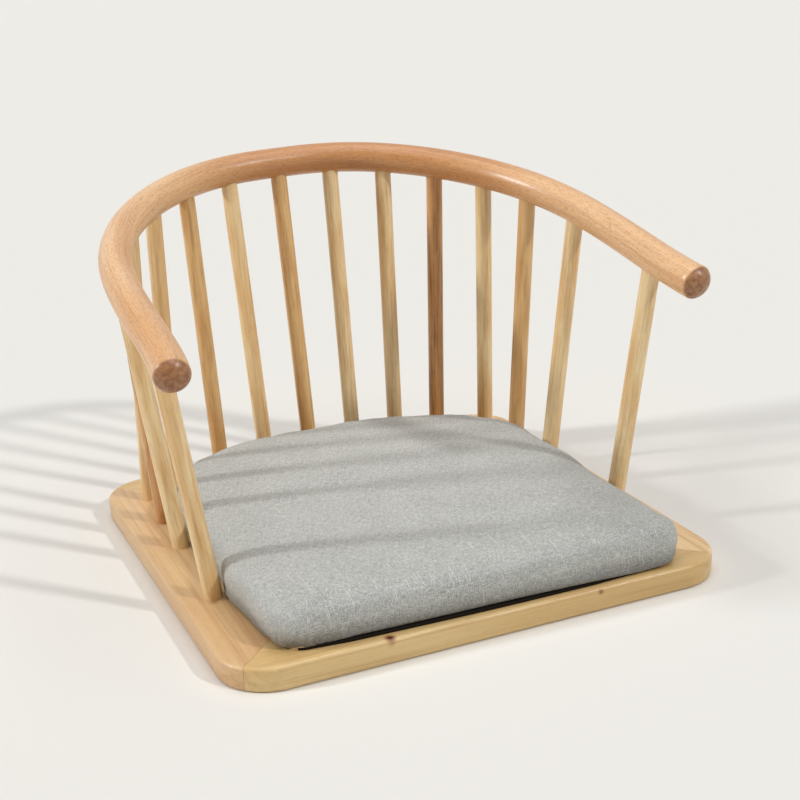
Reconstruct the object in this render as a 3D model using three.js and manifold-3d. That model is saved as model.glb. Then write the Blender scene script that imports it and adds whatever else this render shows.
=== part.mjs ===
// Legless spindle-back floor chair: a mitred board frame, fifteen round spindles,
// one bent arm bow and a loose seat cushion. Millimetres, +Z up, front towards -Y.
import * as THREE from 'three';
import { mergeVertices } from 'three/addons/utils/BufferGeometryUtils.js';
import { NURBSCurve } from 'three/addons/curves/NURBSCurve.js';
import Module from 'manifold-3d';

const wasm = await Module();
wasm.setup();

// Board frame
const boardWidth = 500;
const boardDepth = 500;
const boardThickness = 24;
const boardCornerRadius = 50;
const boardEdgeRound = 4;

// Seat panel, let into a rebate in the top of the rails, past the spindle holes
const panelThickness = 9;
const panelHoleWall = 4;
const panelLedge = 9;
const panelClearance = 0.5;

// Loose tongue across each corner mitre
const tongueLength = 32;
const tongueWidth = 26;
const tongueThickness = 8;
const tongueOutset = 5;

// Countersunk screws that hold the panel to the ledge
const screwLength = 19;
const screwRadius = 2;
const screwHeadRadius = 4;
const screwHeadHeight = 3.2;
const screwSink = 0.5;
const screwSpreadShare = 0.3;

// Arm bow: one round rod bent in a plane that falls towards the arm ends
const rodRadius = 16.5;
const rodDomeDepth = 10;
const bowBackReach = 266;
const bowArmReach = 176;
const bowHalfSpan = 254;
const bowBackHeight = 360;
const bowEndHeight = 273;
// Half of the bow's control points, from the back: across by half span, forward by length
const bowPlanShares = [[0, 0], [0.27, 0], [0.66, 0.115], [1.04, 0.46], [0.97, 0.885], [1, 1]];

// Spindles, from the middle of the back to the front of each side
const spindleRadius = 9;
const spindleEndChamfer = 1.5;
const spindleBoardDepth = 18;
const spindlesPerSide = 7;
const backRowInset = 22;
const backRowPitch = 55;
const backRowPerSide = 3;
const sideRowBackInset = 42;
const sideRowFrontInset = 33;
const sideRowSetback = 67;
const sideRowPitch = 72;
const frontSpindleGap = 130;
const bowHolePitch = 61;
const bowSideGap = 76;
const bowFrontGap = 140;
const brownSpindles = [5, 13];

// Cushion and the thin board inside its underside
const cushionSideClearance = 0.8;
const cushionFrontInset = 7;
const cushionBackClearance = 11;
const cushionBackRun = 168;
const cushionBackSquareness = 2.7;
const cushionCornerRadius = 28;
const cushionEdgeHeight = 36;
const cushionCrown = 8;
const cushionDrawIn = 2;
const cushionBoardThickness = 6;
const cushionBoardInset = 12;
// Rings of the edge, from the underside up: inset by edge height, height by edge height
const cushionEdgeShares = [
  [0.12, 0], [0.04, 0.09], [0, 0.27], [0.012, 0.5],
  [0.07, 0.74], [0.2, 0.91], [0.42, 1],
];
// Rings of the crown: size by the top ring, rise by the crown
const cushionCrownShares = [[0.82, 0.42], [0.6, 0.72], [0.34, 0.92]];

// Fits and fineness
const fitGap = 0.3;
const mitreGap = 0.3;
const cutOverrun = 12;
const mergeTolerance = 1e-4;
const edgeRoundSteps = 2;
const bowArcSteps = 800;
const rodSides = 16;
const rodSteps = 60;
const domeSteps = 3;
const spindleSides = 16;
const screwSides = 10;
const cornerSegments = 6;
const cushionBackPoints = 28;
const cushionCornerPoints = 6;
const cushionSidePoints = 5;
const cushionFrontPoints = 10;

const halfWidth = boardWidth / 2;
const halfDepth = boardDepth / 2;
const railWidth = sideRowBackInset + spindleRadius + panelHoleWall + panelLedge;
const sideRowLength = 2 * sideRowPitch + frontSpindleGap;
const cushionHalfWidth = halfWidth - sideRowInset(2 * sideRowPitch) - spindleRadius - cushionSideClearance;
const cushionBackInset = backRowInset + spindleRadius + cushionBackClearance;
const up = new THREE.Vector3(0, 0, 1);
const quarterTurn = Math.PI / 2;

const finishes = {
  paleWood: { color: 0xdcc08c, roughness: 0.5, metalness: 0 },
  tawnyWood: { color: 0xcfa468, roughness: 0.5, metalness: 0 },
  beech: { color: 0xcf9262, roughness: 0.42, metalness: 0 },
  brownWood: { color: 0xb07a4c, roughness: 0.5, metalness: 0 },
  ply: { color: 0xcdb58a, roughness: 0.7, metalness: 0 },
  linen: { color: 0x9b9b96, roughness: 0.95, metalness: 0 },
  steel: { color: 0xb8b6ac, roughness: 0.4, metalness: 0.9 },
};

// How far a foot in a side row stands in from the board's edge, at a distance forward in the row
function sideRowInset(forward) {
  return THREE.MathUtils.lerp(sideRowBackInset, sideRowFrontInset, forward / sideRowLength);
}

function solidOf(geometry, matrix) {
  const bare = geometry.clone();
  if (matrix) bare.applyMatrix4(matrix);
  bare.deleteAttribute('normal');
  bare.deleteAttribute('uv');
  const merged = mergeVertices(bare, mergeTolerance);
  const vertProperties = new Float32Array(merged.attributes.position.array);
  const triVerts = new Uint32Array(merged.index.array);
  return new wasm.Manifold(new wasm.Mesh({ numProp: 3, vertProperties, triVerts }));
}

function geometryOf(solid) {
  const mesh = solid.getMesh();
  const geometry = new THREE.BufferGeometry();
  geometry.setAttribute('position', new THREE.BufferAttribute(new Float32Array(mesh.vertProperties), 3));
  geometry.setIndex(new THREE.BufferAttribute(new Uint32Array(mesh.triVerts), 1));
  geometry.computeVertexNormals();
  return geometry;
}

function piece(name, geometry, finish) {
  const mesh = new THREE.Mesh(geometry, new THREE.MeshStandardMaterial(finishes[finish]));
  mesh.name = name;
  return mesh;
}

// A cylinder along an axis, from one distance to another past a point on it
function axisRod(point, direction, from, to, radius, sides) {
  const geometry = new THREE.CylinderGeometry(radius, radius, to - from, sides);
  geometry.rotateX(quarterTurn);
  const middle = point.clone().addScaledVector(direction, (from + to) / 2);
  const turn = new THREE.Quaternion().setFromUnitVectors(up, direction);
  return solidOf(geometry, new THREE.Matrix4().compose(middle, turn, new THREE.Vector3(1, 1, 1)));
}

function boxBetween(low, high) {
  const geometry = new THREE.BoxGeometry(high.x - low.x, high.y - low.y, high.z - low.z);
  const middle = low.clone().add(high).multiplyScalar(0.5);
  return solidOf(geometry, new THREE.Matrix4().makeTranslation(middle.x, middle.y, middle.z));
}

// Arm bow centreline: a cubic spline, the same on both sides
function makeBowCurve() {
  const bowLength = bowBackReach + bowArmReach;
  const half = bowPlanShares.map(([across, forward]) => new THREE.Vector3(
    across * bowHalfSpan,
    bowBackReach - forward * bowLength,
    THREE.MathUtils.lerp(bowBackHeight, bowEndHeight, forward),
  ));
  const mirrored = half.slice(1).reverse().map((p) => new THREE.Vector3(-p.x, p.y, p.z));
  const points = [...mirrored, ...half].map((p) => new THREE.Vector4(p.x, p.y, p.z, 1));
  const degree = 3;
  const spans = points.length - degree;
  const knots = [];
  for (let i = -degree; i <= spans + degree; i += 1) {
    knots.push(THREE.MathUtils.clamp(i, 0, spans));
  }
  return new NURBSCurve(degree, knots, points);
}

const bowCurve = makeBowCurve();
bowCurve.arcLengthDivisions = bowArcSteps;
const bowArc = bowCurve.getLength();
const bowPlaneNormal = new THREE.Vector3(
  0, bowEndHeight - bowBackHeight, bowBackReach + bowArmReach,
).normalize();

// Where each spindle stands on the board and where it meets the bow's centreline
function spindleAxes() {
  const sideRowBackY = halfDepth - sideRowSetback;
  const axes = [];
  for (let side = -spindlesPerSide; side <= spindlesPerSide; side += 1) {
    const count = Math.abs(side);
    const hand = Math.sign(side);
    const foot = new THREE.Vector3(hand * count * backRowPitch, halfDepth - backRowInset, boardThickness);
    let along = Math.min(count, spindlesPerSide - 2) * bowHolePitch;
    if (count > backRowPerSide) {
      const step = count - backRowPerSide - 1;
      const forward = count === spindlesPerSide ? sideRowLength : step * sideRowPitch;
      foot.y = sideRowBackY - forward;
      foot.x = hand * (halfWidth - sideRowInset(forward));
    }
    if (count >= spindlesPerSide - 1) along += bowSideGap;
    if (count === spindlesPerSide) along += bowFrontGap;
    const top = bowCurve.getPointAt(0.5 + (hand * along) / bowArc);
    const direction = top.clone().sub(foot).normalize();
    axes.push({ foot, top, direction, length: top.distanceTo(foot) });
  }
  return axes.reverse();
}

const axes = spindleAxes();

function makeSpindle(axis, name, finish) {
  const length = axis.length + spindleBoardDepth;
  const edge = spindleRadius - spindleEndChamfer;
  const profile = [
    new THREE.Vector2(0, 0),
    new THREE.Vector2(edge, 0),
    new THREE.Vector2(spindleRadius, spindleEndChamfer),
    new THREE.Vector2(spindleRadius, length - spindleEndChamfer),
    new THREE.Vector2(edge, length),
    new THREE.Vector2(0, length),
  ];
  const geometry = new THREE.LatheGeometry(profile, spindleSides);
  geometry.rotateX(quarterTurn);
  const mesh = piece(name, geometry, finish);
  mesh.position.copy(axis.foot).addScaledVector(axis.direction, -spindleBoardDepth);
  mesh.quaternion.setFromUnitVectors(up, axis.direction);
  return mesh;
}

function spindleHoleInBoard(axis) {
  const holeRadius = spindleRadius + fitGap;
  return axisRod(axis.foot, axis.direction, -spindleBoardDepth - fitGap, cutOverrun, holeRadius, spindleSides);
}

function spindleHoleInBow(axis) {
  const holeRadius = spindleRadius + fitGap;
  return axisRod(axis.top, axis.direction, -rodRadius - cutOverrun, fitGap, holeRadius, spindleSides);
}

// Rod swept along the bow with a low dome on each end
function makeRodGeometry() {
  const rings = [];
  const addRing = (share, offset, radius) => {
    const tangent = bowCurve.getTangentAt(share);
    const centre = bowCurve.getPointAt(share).addScaledVector(tangent, offset);
    const side = new THREE.Vector3().crossVectors(bowPlaneNormal, tangent).normalize();
    const ring = [];
    for (let i = 0; i < rodSides; i += 1) {
      const angle = (2 * Math.PI * i) / rodSides;
      const spoke = side.clone().multiplyScalar(Math.cos(angle));
      spoke.addScaledVector(bowPlaneNormal, Math.sin(angle));
      ring.push(centre.clone().addScaledVector(spoke, radius));
    }
    rings.push(ring);
  };
  for (let i = domeSteps - 1; i > 0; i -= 1) {
    const angle = (quarterTurn * i) / domeSteps;
    addRing(0, -rodDomeDepth * Math.sin(angle), rodRadius * Math.cos(angle));
  }
  for (let i = 0; i <= rodSteps; i += 1) addRing(i / rodSteps, 0, rodRadius);
  for (let i = 1; i < domeSteps; i += 1) {
    const angle = (quarterTurn * i) / domeSteps;
    addRing(1, rodDomeDepth * Math.sin(angle), rodRadius * Math.cos(angle));
  }
  const startPole = bowCurve.getPointAt(0).addScaledVector(bowCurve.getTangentAt(0), -rodDomeDepth);
  const endPole = bowCurve.getPointAt(1).addScaledVector(bowCurve.getTangentAt(1), rodDomeDepth);
  return closedRings(rings, startPole, endPole);
}

// Joins rings of equal count, with a pole at each end, into one closed geometry
function closedRings(rings, startPole, endPole) {
  const count = rings[0].length;
  const points = [startPole, ...rings.flat(), endPole];
  const last = points.length - 1;
  const index = [];
  for (let i = 0; i < count; i += 1) {
    const next = (i + 1) % count;
    index.push(0, 1 + next, 1 + i);
    for (let r = 0; r < rings.length - 1; r += 1) {
      const a = 1 + r * count + i;
      const b = 1 + r * count + next;
      index.push(a, b, a + count, b, b + count, a + count);
    }
    const top = last - count;
    index.push(last, top + i, top + next);
  }
  const geometry = new THREE.BufferGeometry();
  geometry.setAttribute('position', new THREE.Float32BufferAttribute(points.flatMap((p) => p.toArray()), 3));
  geometry.setIndex(index);
  geometry.computeVertexNormals();
  return geometry;
}

function makeBow() {
  let solid = solidOf(makeRodGeometry());
  for (const axis of axes) solid = solid.subtract(spindleHoleInBow(axis));
  return piece('arm_bow', geometryOf(solid), 'beech');
}

// The whole board as one blank: rounded corners and a small round on both edges
function makeBoardBlank() {
  const shape = new THREE.Shape();
  const x = halfWidth;
  const y = halfDepth;
  const r = boardCornerRadius;
  shape.absarc(x - r, r - y, r, -quarterTurn, 0);
  shape.absarc(x - r, y - r, r, 0, quarterTurn);
  shape.absarc(r - x, y - r, r, quarterTurn, Math.PI);
  shape.absarc(r - x, r - y, r, Math.PI, Math.PI + quarterTurn);
  const geometry = new THREE.ExtrudeGeometry(shape, {
    depth: boardThickness - 2 * boardEdgeRound,
    curveSegments: cornerSegments,
    bevelEnabled: true,
    bevelThickness: boardEdgeRound,
    bevelSize: boardEdgeRound,
    bevelOffset: -boardEdgeRound,
    bevelSegments: edgeRoundSteps,
  });
  geometry.translate(0, 0, boardEdgeRound);
  return solidOf(geometry);
}

// Plan wedge of one rail that lies along the -Y side, cut at 45 degrees at both ends
function railWedge(railHalfLength, sideDistance) {
  const shift = mitreGap / Math.SQRT2;
  const inner = railHalfLength - railWidth;
  const shape = new THREE.Shape([
    new THREE.Vector2(shift - inner, railWidth - sideDistance),
    new THREE.Vector2(shift - railHalfLength - cutOverrun, -sideDistance - cutOverrun),
    new THREE.Vector2(railHalfLength + cutOverrun - shift, -sideDistance - cutOverrun),
    new THREE.Vector2(inner - shift, railWidth - sideDistance),
  ]);
  const geometry = new THREE.ExtrudeGeometry(shape, {
    depth: boardThickness + 2 * cutOverrun,
    bevelEnabled: false,
  });
  geometry.translate(0, 0, -cutOverrun);
  return geometry;
}

function panelSpace(clearance, top) {
  const x = halfWidth - railWidth + panelLedge - clearance;
  const y = halfDepth - railWidth + panelLedge - clearance;
  return boxBetween(
    new THREE.Vector3(-x, -y, boardThickness - panelThickness),
    new THREE.Vector3(x, y, top),
  );
}

function screwPlaces() {
  const x = halfWidth - railWidth + panelLedge / 2;
  const y = halfDepth - railWidth + panelLedge / 2;
  const dx = x * 2 * screwSpreadShare;
  const dy = y * 2 * screwSpreadShare;
  const places = [];
  for (const hand of [-1, 1]) {
    places.push([hand * dx, -y], [hand * dx, y], [-x, hand * dy], [x, hand * dy]);
  }
  return places;
}

function screwGeometry(spare) {
  const top = boardThickness - screwSink;
  const tip = boardThickness - screwLength;
  const profile = [
    new THREE.Vector2(0, tip - spare),
    new THREE.Vector2(screwRadius + spare, tip - spare),
    new THREE.Vector2(screwRadius + spare, top - screwHeadHeight),
    new THREE.Vector2(screwHeadRadius + spare, top),
    new THREE.Vector2(0, top),
  ];
  if (spare > 0) {
    const mouth = boardThickness + cutOverrun;
    profile.splice(4, 1, new THREE.Vector2(screwHeadRadius + spare, mouth), new THREE.Vector2(0, mouth));
  }
  const geometry = new THREE.LatheGeometry(profile, screwSides);
  geometry.rotateX(quarterTurn);
  return geometry;
}

function tongueBox(spare) {
  const grown = [tongueLength, tongueWidth, tongueThickness].map((size) => size + 2 * spare);
  return new THREE.BoxGeometry(...grown);
}

// Middle of a corner's mitre face in plan, moved out along the mitre, and halfway up below the rebate
function tonguePlace(handX, handY) {
  const cornerInset = boardCornerRadius * (1 - Math.SQRT1_2);
  const inset = (railWidth + cornerInset) / 2 - tongueOutset * Math.SQRT1_2;
  const matrix = new THREE.Matrix4().makeRotationZ((-handX * handY * Math.PI) / 4);
  const height = (boardThickness - panelThickness) / 2;
  matrix.setPosition(handX * (halfWidth - inset), handY * (halfDepth - inset), height);
  return matrix;
}

const corners = [['front_left', -1, -1], ['front_right', 1, -1], ['back_right', 1, 1], ['back_left', -1, 1]];

function makeRails() {
  const blank = makeBoardBlank();
  const sides = [
    ['base_front_rail', 0, halfWidth, halfDepth, 'paleWood'],
    ['base_right_rail', 1, halfDepth, halfWidth, 'tawnyWood'],
    ['base_back_rail', 2, halfWidth, halfDepth, 'paleWood'],
    ['base_left_rail', 3, halfDepth, halfWidth, 'tawnyWood'],
  ];
  const cuts = [panelSpace(0, boardThickness + cutOverrun)];
  for (const axis of axes) cuts.push(spindleHoleInBoard(axis));
  for (const [, handX, handY] of corners) cuts.push(solidOf(tongueBox(fitGap), tonguePlace(handX, handY)));
  for (const [x, y] of screwPlaces()) {
    cuts.push(solidOf(screwGeometry(fitGap), new THREE.Matrix4().makeTranslation(x, y, 0)));
  }
  return sides.map(([name, turns, halfLength, distance, finish]) => {
    const turn = new THREE.Matrix4().makeRotationZ(turns * quarterTurn);
    let solid = blank.intersect(solidOf(railWedge(halfLength, distance), turn));
    for (const cut of cuts) solid = solid.subtract(cut);
    return piece(name, geometryOf(solid), finish);
  });
}

function makeTongues() {
  return corners.map(([corner, handX, handY]) => {
    const mesh = piece(`mitre_tongue_${corner}`, tongueBox(0), 'ply');
    mesh.applyMatrix4(tonguePlace(handX, handY));
    return mesh;
  });
}

function makePanel() {
  let solid = panelSpace(panelClearance, boardThickness);
  for (const [x, y] of screwPlaces()) {
    solid = solid.subtract(solidOf(screwGeometry(fitGap), new THREE.Matrix4().makeTranslation(x, y, 0)));
  }
  return piece('seat_panel', geometryOf(solid), 'ply');
}

function makeScrews() {
  return screwPlaces().map(([x, y], i) => {
    const mesh = piece(`panel_screw_${i + 1}`, screwGeometry(0), 'steel');
    mesh.position.set(x, y, 0);
    return mesh;
  });
}

// Cushion plan, right half, from the middle of the back round to the middle of the front
function cushionHalfPlan() {
  const backY = halfDepth - cushionBackInset;
  const shoulderY = backY - cushionBackRun;
  const frontY = cushionFrontInset - halfDepth;
  const cornerY = frontY + cushionCornerRadius;
  const cornerX = cushionHalfWidth - cushionCornerRadius;
  const plan = [];
  for (let i = 0; i < cushionBackPoints / 2; i += 1) {
    const angle = (quarterTurn * i) / (cushionBackPoints / 2);
    const power = 2 / cushionBackSquareness;
    const across = cushionHalfWidth * Math.sin(angle) ** power;
    plan.push([across, shoulderY + cushionBackRun * Math.cos(angle) ** power]);
  }
  for (let i = 0; i < cushionSidePoints; i += 1) {
    const along = i / cushionSidePoints;
    const pull = cushionDrawIn * Math.sin(Math.PI * along) ** 2;
    plan.push([cushionHalfWidth - pull, THREE.MathUtils.lerp(shoulderY, cornerY, along)]);
  }
  for (let i = 0; i < cushionCornerPoints; i += 1) {
    const angle = (quarterTurn * i) / cushionCornerPoints;
    const across = cornerX + cushionCornerRadius * Math.cos(angle);
    plan.push([across, cornerY - cushionCornerRadius * Math.sin(angle)]);
  }
  for (let i = 0; i <= cushionFrontPoints / 2; i += 1) {
    const along = i / (cushionFrontPoints / 2);
    plan.push([cornerX * (1 - along), frontY + cushionDrawIn * Math.sin(quarterTurn * along) ** 2]);
  }
  return plan;
}

// Whole plan, anticlockwise seen from above, with the outward normal of each point
function cushionPlan() {
  const half = cushionHalfPlan();
  const other = half.slice(1, -1).reverse().map(([x, y]) => [-x, y]);
  const loop = [...half, ...other].reverse().map(([x, y]) => new THREE.Vector2(x, y));
  const normals = loop.map((point, i) => {
    const before = loop[(i + loop.length - 1) % loop.length];
    const after = loop[(i + 1) % loop.length];
    const along = after.clone().sub(before).normalize();
    return new THREE.Vector2(along.y, -along.x);
  });
  return { loop, normals };
}

function cushionRing(plan, inset, height) {
  return plan.loop.map((p, i) => new THREE.Vector3(
    p.x - plan.normals[i].x * inset,
    p.y - plan.normals[i].y * inset,
    height,
  ));
}

const cushionSeatHeight = boardThickness + fitGap;

function cushionBoardGeometry(spare) {
  const ring = cushionRing(cushionPlan(), cushionBoardInset - spare, 0);
  const shape = new THREE.Shape(ring.map((p) => new THREE.Vector2(p.x, p.y)));
  const below = spare > 0 ? cutOverrun : 0;
  const geometry = new THREE.ExtrudeGeometry(shape, {
    depth: cushionBoardThickness + spare + below,
    bevelEnabled: false,
  });
  geometry.translate(0, 0, cushionSeatHeight - below);
  return geometry;
}

function makeCushion() {
  const plan = cushionPlan();
  const rings = cushionEdgeShares.map(([inset, height]) => cushionRing(
    plan,
    inset * cushionEdgeHeight,
    cushionSeatHeight + height * cushionEdgeHeight,
  ));
  const topRing = rings[rings.length - 1];
  const edgeTop = cushionSeatHeight + cushionEdgeHeight;
  const middleY = (cushionFrontInset - cushionBackInset) / 2;
  for (const [size, rise] of cushionCrownShares) {
    rings.push(topRing.map((p) => new THREE.Vector3(
      p.x * size,
      middleY + (p.y - middleY) * size,
      edgeTop + rise * cushionCrown,
    )));
  }
  const underside = new THREE.Vector3(0, middleY, cushionSeatHeight);
  const crownTop = new THREE.Vector3(0, middleY, edgeTop + cushionCrown);
  const whole = solidOf(closedRings(rings, underside, crownTop));
  const solid = whole.subtract(solidOf(cushionBoardGeometry(fitGap)));
  return piece('seat_cushion', geometryOf(solid), 'linen');
}

const chair = new THREE.Group();
chair.add(...makeRails(), ...makeTongues(), makePanel(), ...makeScrews(), makeBow());
axes.forEach((axis, i) => {
  const number = i + 1;
  const finish = brownSpindles.includes(number) ? 'brownWood' : 'paleWood';
  chair.add(makeSpindle(axis, `spindle_${String(number).padStart(2, '0')}`, finish));
});
chair.add(makeCushion(), piece('cushion_board', cushionBoardGeometry(0), 'ply'));

// The origin is under the middle of the whole chair: the bow reaches past the board's back edge
chair.position.y = (halfDepth - bowBackReach - rodRadius) / 2;

export default chair;
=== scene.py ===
import math

import bpy
import numpy as np
from mathutils import Matrix, Vector, noise


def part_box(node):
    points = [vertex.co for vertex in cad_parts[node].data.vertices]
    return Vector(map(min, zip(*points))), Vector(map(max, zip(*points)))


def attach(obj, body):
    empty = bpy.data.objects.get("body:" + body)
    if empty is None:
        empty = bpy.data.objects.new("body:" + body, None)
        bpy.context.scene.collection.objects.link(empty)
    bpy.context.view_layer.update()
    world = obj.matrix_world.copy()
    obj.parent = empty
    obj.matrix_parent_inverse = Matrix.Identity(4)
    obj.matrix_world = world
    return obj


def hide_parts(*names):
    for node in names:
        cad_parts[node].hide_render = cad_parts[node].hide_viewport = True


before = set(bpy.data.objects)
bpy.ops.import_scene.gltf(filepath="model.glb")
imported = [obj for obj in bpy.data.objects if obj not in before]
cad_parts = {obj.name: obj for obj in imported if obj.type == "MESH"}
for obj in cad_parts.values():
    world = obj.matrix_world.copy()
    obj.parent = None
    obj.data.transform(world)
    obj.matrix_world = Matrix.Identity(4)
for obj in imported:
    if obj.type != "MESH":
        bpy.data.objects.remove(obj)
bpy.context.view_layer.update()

# Camera at the photograph's angle. Places are in metres, turns in degrees
cameraView = {
    "place": (-0.5215, -1.3066, 0.6226),
    "heading": 19.376,
    "dip": 20.235,
    "roll": -4.340,
    "lens": 65.01,
    "sensor": 36.0,
    "shift": (0.100, 0.056),
}


def makeCamera(v):
    heading, dip, roll = (math.radians(v[key]) for key in ("heading", "dip", "roll"))
    level = math.cos(dip)
    ahead = Vector((math.sin(heading) * level, math.cos(heading) * level, -math.sin(dip)))
    levelRight = ahead.cross(Vector((0, 0, 1))).normalized()
    levelUp = levelRight.cross(ahead)
    right = levelRight * math.cos(roll) + levelUp * math.sin(roll)
    upward = levelUp * math.cos(roll) - levelRight * math.sin(roll)
    data = bpy.data.cameras.new("photoCamera")
    data.sensor_width = v["sensor"]
    data.lens = v["lens"]
    data.shift_x, data.shift_y = v["shift"]
    camera = bpy.data.objects.new("photoCamera", data)
    bpy.context.scene.collection.objects.link(camera)
    turn = Matrix((right, upward, -ahead)).transposed().to_4x4()
    camera.matrix_world = Matrix.Translation(v["place"]) @ turn
    bpy.context.scene.camera = camera


makeCamera(cameraView)
print("camera placed")


class Link:
    # one socket of a material, so that shader maths reads as plain arithmetic

    def __init__(self, graph, socket):
        self.graph = graph
        self.socket = socket

    def maths(self, operation, *terms):
        return self.graph.node("ShaderNodeMath", {"operation": operation}, terms)

    def __add__(self, other):
        return self.maths("ADD", self, other)

    def __radd__(self, other):
        return self.maths("ADD", other, self)

    def __sub__(self, other):
        return self.maths("SUBTRACT", self, other)

    def __rsub__(self, other):
        return self.maths("SUBTRACT", other, self)

    def __mul__(self, other):
        return self.maths("MULTIPLY", self, other)

    def __rmul__(self, other):
        return self.maths("MULTIPLY", other, self)

    def __truediv__(self, other):
        return self.maths("DIVIDE", self, other)

    def __rtruediv__(self, other):
        return self.maths("DIVIDE", other, self)

    def __pow__(self, other):
        return self.maths("POWER", self, other)

    def __rpow__(self, other):
        return self.maths("POWER", other, self)


class Graph:
    # the node tree of a material or world, with one method that adds any node

    def __init__(self, owner):
        self.owner = owner
        owner.use_nodes = True
        self.tree = owner.node_tree
        self.tree.nodes.clear()

    def node(self, kind, settings=None, sockets=(), out=0):
        made = self.tree.nodes.new(kind)
        for key, value in (settings or {}).items():
            setattr(made, key, value)
        pairs = sockets.items() if isinstance(sockets, dict) else enumerate(sockets)
        for key, value in pairs:
            if isinstance(value, Link):
                self.tree.links.new(value.socket, made.inputs[key])
            else:
                made.inputs[key].default_value = value
        return Link(self, made.outputs[out]) if made.outputs else None

    def attribute(self, name, out="Vector"):
        return self.node("ShaderNodeAttribute", {"attribute_name": name}, out=out)

    def parts(self, vector):
        # a vector's three numbers, one link each
        split = self.node("ShaderNodeSeparateXYZ", {}, [vector])
        return [Link(self, socket) for socket in split.socket.node.outputs]

    def stretched(self, vector, scale):
        return self.node("ShaderNodeVectorMath", {"operation": "MULTIPLY"}, [vector, scale])

    def cloud(self, vector, scale, detail=2.0, rough=0.5):
        place = self.stretched(vector, scale)
        sockets = {"Vector": place, "Scale": 1.0, "Detail": detail, "Roughness": rough}
        return self.node("ShaderNodeTexNoise", {}, sockets)

    def step(self, value, low, high):
        settings = {"interpolation_type": "SMOOTHSTEP"}
        sockets = {"Value": value, "From Min": low, "From Max": high}
        return self.node("ShaderNodeMapRange", settings, sockets)

    def blend(self, factor, first, second, kind="MIX"):
        settings = {"data_type": "RGBA", "blend_type": kind, "clamp_result": True}
        return self.node("ShaderNodeMix", settings, {0: factor, 6: first, 7: second}, out=2)

    def surface(self, sockets, height, depth):
        bump = self.node("ShaderNodeBump", {}, {"Strength": 1.0, "Distance": depth, "Height": height})
        shader = self.node("ShaderNodeBsdfPrincipled", {}, {**sockets, "Normal": bump})
        self.node("ShaderNodeOutputMaterial", {}, [shader])
        return self.owner


def paint(red, green, blue):
    # a colour written as it looks on a screen, 0 to 255, turned into linear light
    def linear(c):
        share = c / 255
        return share / 12.92 if share <= 0.04045 else ((share + 0.055) / 1.055) ** 2.4

    return (linear(red), linear(green), linear(blue), 1.0)


# Woods. grain is a mesh attribute: x and y across the fibres, z along them, in metres from the pith.
# Scales are features per metre, in that order
paleWood = {
    "pale": paint(248, 222, 171),
    "warm": paint(235, 196, 137),
    "dark": paint(178, 122, 68),
    "end": paint(190, 144, 92),
    "toneScale": (55, 55, 9.0),
    "toneRange": (0.42, 0.66),
    "ringPitch": 0.0040,
    "ringShare": 0.16,
    "streakScale": (170, 170, 13.0),
    "streakShare": 0.40,
    "fibreScale": (520, 520, 24),
    "poreShare": 0.30,
    "fleckShare": 0.0,
    "roughness": 0.42,
    "coat": 0.18,
    "backToneAndShade": (0.0, 0.0, 0.0),  # a darker stretch along the piece, part the wood's own tone and part painted shade where it gets less light: middle, reach, depth
    "knots": [],  # place in the grain, size, depth
}
amberWood = {
    **paleWood,
    "pale": paint(230, 190, 130),
    "warm": paint(214, 165, 103),
    "dark": paint(150, 96, 50),
    "streakShare": 0.45,
}
brownWood = {
    **paleWood,
    "pale": paint(222, 170, 112),
    "warm": paint(204, 146, 88),
    "dark": paint(124, 74, 42),
    "ringShare": 0.26,
    "streakShare": 0.60,
    "poreShare": 0.5,
}
frontBoardWood = {
    **paleWood,
    "pale": paint(224, 195, 138),
    "warm": paint(211, 176, 117),
    "dark": paint(172, 126, 74),
    "toneScale": (14, 14, 1.8),
    "ringPitch": 0.0075,
    "streakScale": (130, 130, 4.2),
    "streakShare": 0.36,
    "fibreScale": (620, 620, 9),
    "poreShare": 0.34,
    "knots": [((0.0645, -0.0275, -0.103), 0.0074, 1.0), ((0.060, -0.030, 0.106), 0.0045, 0.45)],
}
sideBoardWood = {
    **frontBoardWood,
    "pale": paint(222, 186, 138),
    "warm": paint(208, 166, 116),
    "dark": paint(168, 118, 74),
    "knots": [((0.080, -0.066, 4.002), 0.0075, 0.28), ((0.093, -0.066, 4.112), 0.0022, 0.8)],
}
rightBoardWood = {
    **sideBoardWood,
    "pale": paint(240, 205, 152),
    "warm": paint(226, 184, 128),
    "dark": paint(178, 126, 78),
}
beechWood = {
    "pale": paint(239, 195, 147),
    "warm": paint(225, 171, 117),
    "dark": paint(152, 92, 48),
    "end": paint(124, 70, 30),
    "toneScale": (34, 34, 4.0),
    "toneRange": (0.36, 0.66),
    "ringPitch": 0.0026,
    "ringShare": 0.12,
    "streakScale": (150, 150, 7.0),
    "streakShare": 0.26,
    "fibreScale": (620, 620, 14),
    "poreShare": 0.10,
    "fleckShare": 0.46,
    "roughness": 0.36,
    "coat": 0.25,
    # part darker wood tone, part painted shade along the back of the bow, which gets less light
    "backToneAndShade": (0.69, 0.26, 0.80),
    "knots": [],
}


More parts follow.
